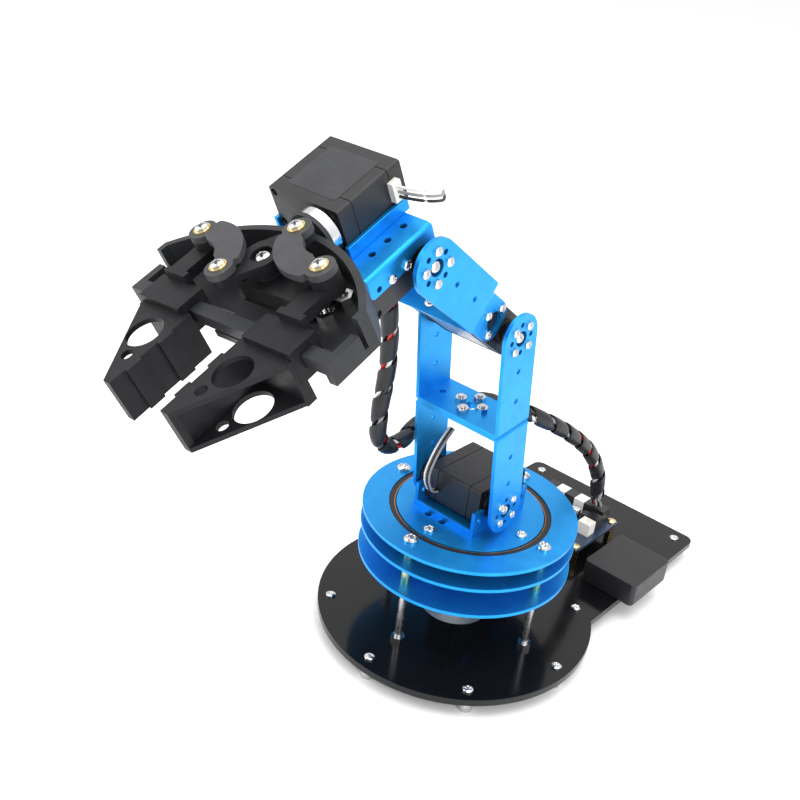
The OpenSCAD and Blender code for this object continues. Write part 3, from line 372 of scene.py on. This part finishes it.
def rod_into(bm, centre, axis, side, radius, low, high, sides=20, material_index=0):
    other = axis.cross(side)
    loops = []
    for z in (low, high):
        loops.append([bm.verts.new(centre + axis * z + radius * (
            math.cos(2 * math.pi * k / sides) * side + math.sin(2 * math.pi * k / sides) * other))
            for k in range(sides)])
    faces = [bm.faces.new((loops[0][k], loops[0][(k + 1) % sides], loops[1][(k + 1) % sides], loops[1][k]))
             for k in range(sides)]
    faces.append(bm.faces.new(list(reversed(loops[0]))))
    faces.append(bm.faces.new(loops[1]))
    for face in faces:
        face.material_index = material_index


def cross_head_screws(node, material, dome=0.45):
    """Screws with cross recesses where a CAD node has its plain ones."""
    source = node_mesh(node)
    bm = bmesh.new()
    for group in islands(source):
        centre, axis, side, head_r, base, top, foot, shank_r = turned_shape(group)
        head_into(bm, centre, axis, side, head_r, base, top, dome)
        if shank_r:
            rod_into(bm, centre, axis, side, shank_r, foot, base)
    source.free()
    piece = finish_mesh(node + "_screws", bm, material, node_body[node], SCREW_ANGLE)
    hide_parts(node)


def link_screws(node, axis, head_r=2.8, head_h=1.85, washer_r=3.7, washer_t=0.55):
    """Steel heads on brass washers over the two pivots of a gripper link."""
    axis = Vector(axis).normalized()
    side = axis.orthogonal().normalized()
    points = [v.co for v in nodes[node].data.vertices]
    top = max(p.dot(axis) for p in points)
    high = [p for p in points if p.dot(axis) > top - 0.25 * MM]
    far = max(high, key=lambda p: (p - high[0]).length)
    bm = bmesh.new()
    for seed in (high[0], far):
        near = [p for p in high if (p - seed).length < 5 * MM]
        middle = sum(near, Vector()) / len(near)
        centre = middle - axis * middle.dot(axis)
        base = top - head_h * MM
        head_into(bm, centre, axis, side, head_r * MM, base, top + 0.04 * MM, 0.45)
        rod_into(bm, centre, axis, side, washer_r * MM, base - washer_t * MM, base + 0.14 * MM, 32, 1)
    finish_mesh(node + "_screws", bm, [STEEL, SPACER], node_body[node], SCREW_ANGLE)


def crank_screw(axis, place):
    """The steel screw in the middle of the crank, over the CAD node's plain one."""
    axis = Vector(axis).normalized()
    side = axis.orthogonal().normalized()
    centre = Vector(place) - axis * Vector(place).dot(axis)
    points = [v.co for v in nodes["gripper_crank"].data.vertices]
    near = [p.dot(axis) for p in points if (p - centre - axis * (p - centre).dot(axis)).length < 1.0 * MM]
    top = max(near)
    bm = bmesh.new()
    head_into(bm, centre, axis, side, 3.15 * MM, top - 2.0 * MM, top + 0.04 * MM, 0.45)
    finish_mesh("gripper_crank_screw", bm, STEEL, "crank", SCREW_ANGLE)


def ring_piece(name, material, body, inner, outer, low, high, sides=180):
    """A thin turned ring about the upright axis through the origin, in millimetres."""
    bm = bmesh.new()
    profile = [(inner, low), (outer, low), (outer, high), (inner, high)]
    rows = []
    for k in range(sides):
        turn = 2 * math.pi * k / sides
        rows.append([
            bm.verts.new(Vector((r * math.cos(turn), r * math.sin(turn), z)) * MM)
            for r, z in profile
        ])
    for k in range(sides):
        here, there = rows[k], rows[(k + 1) % sides]
        for i in range(4):
            m = (i + 1) % 4
            bm.faces.new((here[i], there[i], there[m], here[m]))
    bmesh.ops.recalc_face_normals(bm, faces=bm.faces)
    return finish_mesh(name, bm, material, body)


def plain_label(name, node, towards, share, material, lift=0.12, corner=1.2):
    """A bare label on the largest flat side of a case that faces a direction."""
    bm = node_mesh(node)
    bmesh.ops.dissolve_limit(bm, angle_limit=FLAT_ANGLE, verts=bm.verts, edges=bm.edges)
    towards = Vector(towards).normalized()
    best = max(bm.faces, key=lambda f: f.calc_area() * max(f.normal.dot(towards), 0) ** 6)
    normal = best.normal.copy()
    level = best.calc_center_median().dot(normal)
    points = [v.co.copy() for v in bm.verts if abs(v.co.dot(normal) - level) < 0.05 * MM]
    longest = max((e for e in best.edges), key=lambda e: e.calc_length())
    u = (longest.verts[1].co - longest.verts[0].co).normalized()
    bm.free()
    v = normal.cross(u)
    spans = [(min(p.dot(d) for p in points), max(p.dot(d) for p in points)) for d in (u, v)]
    half = [(high - low) / 2 * share for low, high in spans]
    centre = u * sum(spans[0]) / 2 + v * sum(spans[1]) / 2 + normal * level
    label = bmesh.new()
    outline = []
    for sx, sy, first in ((1, 1, 0), (-1, 1, 90), (-1, -1, 180), (1, -1, 270)):
        for k in range(5):
            turn = math.radians(first + 22.5 * k)
            outline.append((sx * (half[0] - corner * MM) + corner * MM * math.cos(turn),
                            sy * (half[1] - corner * MM) + corner * MM * math.sin(turn)))
    for height in (0.0, lift * MM):
        for x, y in outline:
            label.verts.new(centre + u * x + v * y + normal * height)
    label.verts.ensure_lookup_table()
    n = len(outline)
    for k in range(n):
        m = (k + 1) % n
        label.faces.new((label.verts[k], label.verts[m], label.verts[n + m], label.verts[n + k]))
    label.faces.new([label.verts[k] for k in reversed(range(n))])
    label.faces.new([label.verts[n + k] for k in range(n)])
    return finish_mesh(name, label, material, node_body[node])


def flat_ribbon(bm, points, width, strands, first_material):
    """Round leads side by side along x, as one flat ribbon."""
    route = even_points(smooth_points(points, 6), 1.5)
    radius = width / strands / 2
    for s in range(strands):
        offset = Vector(((s - (strands - 1) / 2) * 2 * radius, 0, 0))
        before = len(bm.faces)
        tube_into(bm, [p + offset for p in route], lambda length, turn: radius, 10)
        bm.faces.ensure_lookup_table()
        for face in bm.faces[before:]:
            face.material_index = (first_material + s) % len(STRANDS)


def rounded(node, width, segments=2, angle=28, material=None):
    """A copy of a CAD node's shape with its edges broken, in place of the node."""
    bm = node_mesh(node)
    bmesh.ops.dissolve_limit(bm, angle_limit=FLAT_ANGLE, verts=bm.verts, edges=bm.edges)
    edges = [e for e in bm.edges if len(e.link_faces) == 2 and e.calc_face_angle(0) > math.radians(angle)]
    bmesh.ops.bevel(bm, geom=edges, offset=width * MM, segments=segments, profile=0.5, affect="EDGES",
                    clamp_overlap=True)
    slot = node_slot[node]
    piece = finish_mesh(node + "_body", bm, material or NODE_MATERIAL[slot], node_body[node])
    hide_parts(node)
    return piece


def smooth_points(points, steps):
    """Catmull-Rom points through the given ones."""
    path = [Vector(p) for p in points]
    out = []
    for i in range(len(path) - 1):
        a, b, c, d = path[max(i - 1, 0)], path[i], path[i + 1], path[min(i + 2, len(path) - 1)]
        for s in range(steps):
            u = s / steps
            out.append(0.5 * (2 * b + (c - a) * u + (2 * a - 5 * b + 4 * c - d) * u * u
                              + (3 * b - a - 3 * c + d) * u ** 3))
    out.append(path[-1])
    return out


def even_points(points, spacing):
    """The same route with points a fixed distance apart."""
    out = [points[0]]
    carried = 0.0
    for a, b in zip(points, points[1:]):
        length = (b - a).length
        while carried + length >= spacing:
            step = spacing - carried
            a = a + (b - a) * (step / length)
            length = (b - a).length
            out.append(a)
            carried = 0.0
        carried += length
    if (out[-1] - points[-1]).length > spacing * 0.3:
        out.append(points[-1])
    return out


def frames_along(points):
    """Tangent and two normals at each point, carried along without twist."""
    result = []
    side = None
    for i in range(len(points)):
        tangent = (points[min(i + 1, len(points) - 1)] - points[max(i - 1, 0)]).normalized()
        if side is None:
            side = tangent.orthogonal().normalized()
        side = (side - tangent * side.dot(tangent)).normalized()
        result.append((tangent, side, tangent.cross(side)))
    return result


def tube_into(bm, points, radius_at, sides, capped=True):
    """Sweeps a tube of radius radius_at(length, angle) along points, in millimetres."""
    travelled = 0.0
    rings = []
    for i, (p, (tangent, a, b)) in enumerate(zip(points, frames_along(points))):
        if i:
            travelled += (p - points[i - 1]).length
        ring = []
        for k in range(sides):
            turn = 2 * math.pi * k / sides
            r = radius_at(travelled, turn)
            ring.append(bm.verts.new((p + r * (math.cos(turn) * a + math.sin(turn) * b)) * MM))
        rings.append(ring)
    for low, high in zip(rings, rings[1:]):
        for k in range(sides):
            m = (k + 1) % sides
            bm.faces.new((low[k], low[m], high[m], high[k]))
    if capped:
        bm.faces.new(list(reversed(rings[0])))
        bm.faces.new(rings[-1])


# ---------------------------------------------------------------- cable loom
LOOM_ROUTES = {
    "loom_base": [(20, 109, 50), (20, 107, 60), (20, 101, 74), (19, 86, 93), (17, 62, 112), (12, 38, 127),
                  (2, 24, 134)],
    "loom_shoulder": [(2, 24, 134), (-14, 20, 133), (-28, 14, 128), (-36, 2, 122), (-37, -12, 117),
                      (-34, -24, 115)],
    "loom_elbow": [(-34, -24, 115), (-34, -36, 115), (-34, -45, 124), (-34, -46, 142), (-34, -44, 162),
                   (-34, -45, 182), (-34, -49, 202)],
    "loom_wrist": [(-34, -49, 202), (-35, -56, 220), (-37, -66, 236), (-42, -80, 250), (-46, -98, 254)],
}
LOOM_RADIUS = 4.9
WRAP_PITCH = 16.0
WRAP_WIDTH = 13.2
WRAP_STEP = 0.7
STRAND_RADIUS = 1.25
STRAND_ORBIT = 2.5
STRAND_PITCH = 85.0
STRAND_SIDES = 10
ROUTE_STEP = 1.2


def loom_route():
    """The whole loom as evenly spaced points with their frames, and the length at each joint's cut."""
    knots = []
    cuts = [0]
    for points in LOOM_ROUTES.values():
        knots += points if not knots else points[1:]
        cuts.append(len(knots) - 1)
    fine = 10
    dense = smooth_points(knots, fine)
    lengths = [0.0]
    for a, b in zip(dense, dense[1:]):
        lengths.append(lengths[-1] + (b - a).length)
    points = even_points(dense, ROUTE_STEP)
    return points, frames_along(points), [lengths[c * fine] for c in cuts]


route_points, route_frames, route_cuts = loom_route()


def on_route(length, radius, turn):
    """The place at a length along the loom, a radius from its middle and an angle round it."""
    place = min(max(length / ROUTE_STEP, 0), len(route_points) - 1.001)
    i = int(place)
    u = place - i
    p = route_points[i].lerp(route_points[i + 1], u)
    a = route_frames[i][1].lerp(route_frames[i + 1][1], u)
    b = route_frames[i][2].lerp(route_frames[i + 1][2], u)
    return (p + radius * (math.cos(turn) * a + math.sin(turn) * b)) * MM


def wrap_into(bm, start, end, total):
    """A flat band wound round the loom, with a gap between its turns."""
    steps = int((end - start) / WRAP_PITCH * 30)
    across = 6
    rows = []
    for i in range(steps + 1):
        middle = start + (end - start) * i / steps
        turn = 2 * math.pi * middle / WRAP_PITCH
        row = []
        for layer in (0, 1):
            for k in range(across + 1):
                u = k / across - 0.5
                edge = 0.35 * max(0.0, abs(u) * 2 - 0.8) / 0.2
                lift = WRAP_STEP * (0.5 - u) * 0.6
                radius = LOOM_RADIUS - lift - (edge if layer == 0 else 0.55)
                length = min(max(middle + u * WRAP_WIDTH, 0.0), total)
                row.append(bm.verts.new(on_route(length, radius, turn)))
        rows.append(row)
    n = across + 1
    ring = list(range(n)) + [n + k for k in reversed(range(n))]
    for low, high in zip(rows, rows[1:]):
        for a, b in zip(ring, ring[1:] + ring[:1]):
            bm.faces.new((low[a], low[b], high[b], high[a]))
    bm.faces.new([rows[0][k] for k in reversed(ring)])
    bm.faces.new([rows[-1][k] for k in ring])


def strands_into(bm, start, end):
    """The leads inside the wrap, twisted slowly round each other."""
    steps = max(int((end - start) / 2.0), 4)
    for s in range(len(STRANDS)):
        rings = []
        for i in range(steps + 1):
            length = start + (end - start) * i / steps
            turn = 2 * math.pi * (s / len(STRANDS) + length / STRAND_PITCH)
            middle = on_route(length, STRAND_ORBIT, turn)
            out = (middle - on_route(length, 0, 0)).normalized()
            along = (on_route(length + 0.5, 0, 0) - on_route(length - 0.5, 0, 0)).normalized()
            flat = along.cross(out).normalized()
            rings.append([bm.verts.new(middle + STRAND_RADIUS * MM * (
                math.cos(2 * math.pi * k / STRAND_SIDES) * out
                + math.sin(2 * math.pi * k / STRAND_SIDES) * flat)) for k in range(STRAND_SIDES)])
        faces = []
        for low, high in zip(rings, rings[1:]):
            for k in range(STRAND_SIDES):
                m = (k + 1) % STRAND_SIDES
                faces.append(bm.faces.new((low[k], low[m], high[m], high[k])))
        faces += [bm.faces.new(list(reversed(rings[0]))), bm.faces.new(rings[-1])]
        for face in faces:
            face.material_index = s


def make_looms():
    total = route_cuts[-1]
    for name, start, end in zip(LOOM_ROUTES, route_cuts, route_cuts[1:]):
        wrap = bmesh.new()
        wrap_into(wrap, start, end, total)
        leads = bmesh.new()
        strands_into(leads, start, end)
        pieces = (
            finish_mesh(name + "_wrap", wrap, WRAP, angle=ROUND_ANGLE),
            finish_mesh(name + "_leads", leads, STRANDS, angle=ROUND_ANGLE),
        )
        for piece in pieces:
            bmesh_normals(piece)
            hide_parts(name)
            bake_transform(piece)


def bmesh_normals(piece):
    """Turns every face of a closed piece outwards."""
    bm = bmesh.new()
    bm.from_mesh(piece.data)
    bmesh.ops.recalc_face_normals(bm, faces=bm.faces)
    bm.to_mesh(piece.data)
    bm.free()


make_looms()

# ---------------------------------------------------------------- carried-over nodes and their edges
for name, obj in nodes.items():
    set_material(obj, NODE_MATERIAL[node_slot[name]])

EDGE_WIDTH = {
    "base_plate": 0.4,
    "lower_disc": 0.3,
    "middle_disc": 0.3,
    "top_ring": 0.3,
    "turntable_disc": 0.3,
    "outer_race": 0.3,
    "inner_race": 0.3,
    "shoulder_bracket": 0.3,
    "lower_u_bracket": 0.35,
    "upper_u_bracket": 0.35,
    "elbow_bracket": 0.3,
    "forearm_u_bracket": 0.35,
    "hand_channel": 0.3,
    "roll_bracket": 0.3,
    "base_servo_case": 0.3,
    "shoulder_servo_case": 0.3,
    "elbow_servo_case": 0.3,
    "wrist_servo_case": 0.3,
    "roll_servo_case": 0.3,
    "gripper_servo_case": 0.3,
    "gripper_frame": 0.5,
    "right_finger": 0.5,
    "left_finger": 0.5,
    "gripper_crank": 0.4,
    "receiver_case": 0.8,
    "controller_board": 0.15,
    "roll_horn": 0.3,
    "drive_hub": 0.3,
    "base_servo_horn": 0.3,
}
for name, width in EDGE_WIDTH.items():
    rounded(name, width, material=FRAME_PLASTIC if name == "gripper_frame" else None)

SCREW_NODES = {
    "foot_screws": 0.45,
    "ring_screws": 0.55,
    "turntable_screws": 0.45,
    "forearm_screws": 0.45,
    "hand_screws": 0.45,
    "web_bolts": 0.45,
    "shoulder_horn_screws": 0.45,
    "elbow_horn_screws": 0.45,
    "wrist_horn_screws": 0.45,
}
for name, dome in SCREW_NODES.items():
    cross_head_screws(name, STEEL, dome)

joints = frame["record"]["behaviour"]["joints"]
LINK_AXIS = next(j["axis"] for j in joints if j["name"] == "crank_turn")
for name in ("right_link", "left_link"):
    rounded(name, 0.3, material=LINK_PLASTIC)
    link_screws(name, LINK_AXIS)
crank_screw(LINK_AXIS, next(j["pos_m"] for j in joints if j["name"] == "crank_turn"))

for name in ("shoulder_horns", "elbow_horns", "wrist_horns"):
    rounded(name, 0.25, material=DARK_HORN)

island_materials("servo_lead", [WIRE_BLACK, WIRE_GREY, WIRE_WHITE])
island_materials("shoulder_leads", [WIRE_WHITE, WIRE_BLACK, WIRE_GREY])
BOARD_PART_MATERIALS = [
    CHIP, CHIP, CHIP, CHIP, HORN,
    CHIP, PLUG, CHIP, PLUG, CHIP,
    CHIP, PLUG, CHIP, HORN, HORN,
]
island_materials("board_parts", BOARD_PART_MATERIALS)

RIBBONS = (
    ([(-24.5, 103, 33.6), (-22.5, 96, 43.6), (-12.5, 88, 45.6), (-1.5, 86, 35.6), (-0.5, 90, 27.8)],
     6.6, 4, 1),
    ([(20, 109, 48.4), (19, 114, 42), (14, 122, 37), (12, 127, 33.5)],
     7.6, 5, 0),
)
ribbons = bmesh.new()
for points, width, strands, first in RIBBONS:
    flat_ribbon(ribbons, points, width, strands, first)
ribbon_piece = finish_mesh("ribbon_leads", ribbons, STRANDS, "base", ROUND_ANGLE)
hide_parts("wire_ribbons")

race_low, race_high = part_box("outer_race")
BORE_EDGE = 41.85
ring_piece("bearing_edge", COPPER, "base", BORE_EDGE, BORE_EDGE + 0.45, race_high[2] / MM - 0.6,
           race_high[2] / MM + 0.06)
plain_label("roll_servo_label", "roll_servo_case", (0, -0.3, 1), 0.72, LABEL)
plain_label("elbow_servo_label", "elbow_servo_case", (0, -1, -0.4), 0.72, FOIL)


# ---------------------------------------------------------------- studio
FLOOR_HALF = 9.0


def make_studio():
    floor, _, shader = new_material("floor")
    shader.inputs["Base Color"].default_value = (0.97, 0.97, 0.97, 1)
    shader.inputs["Roughness"].default_value = 0.9
    shader.inputs["Specular IOR Level"].default_value = 0.1
    bm = bmesh.new()
    bmesh.ops.create_grid(bm, x_segments=1, y_segments=1, size=FLOOR_HALF)
    mesh = bpy.data.meshes.new("floor")
    bm.to_mesh(mesh)
    bm.free()
    plane = bpy.data.objects.new("floor", mesh)
    bpy.context.scene.collection.objects.link(plane)
    set_material(plane, floor)


def area_light(name, place, target, size, power, tint=(1, 1, 1)):
    data = bpy.data.lights.new(name, "AREA")
    data.shape = "RECTANGLE"
    data.size, data.size_y = size
    data.energy = power
    data.color = tint
    light = bpy.data.objects.new(name, data)
    bpy.context.scene.collection.objects.link(light)
    light.location = place
    light.rotation_mode = "QUATERNION"
    light.rotation_quaternion = (Vector(target) - Vector(place)).to_track_quat("-Z", "Y")


make_studio()
area_light("top", (0.1, 0.1, 1.6), (0, 0, 0.1), (1.6, 1.6), 18)
area_light("left", (-1.1, -0.9, 0.9), (0, -0.05, 0.2), (0.9, 1.2), 9)
area_light("right", (1.5, -0.5, 0.7), (0, 0, 0.15), (0.8, 1.2), 13)

scene = bpy.context.scene
world = bpy.data.worlds.new("studio")
scene.world = world
world.use_nodes = True
background = world.node_tree.nodes["Background"]
background.inputs["Color"].default_value = (1, 1, 1, 1)
background.inputs["Strength"].default_value = 1.0
scene.view_settings.view_transform = "Standard"
scene.view_settings.exposure = 0.0
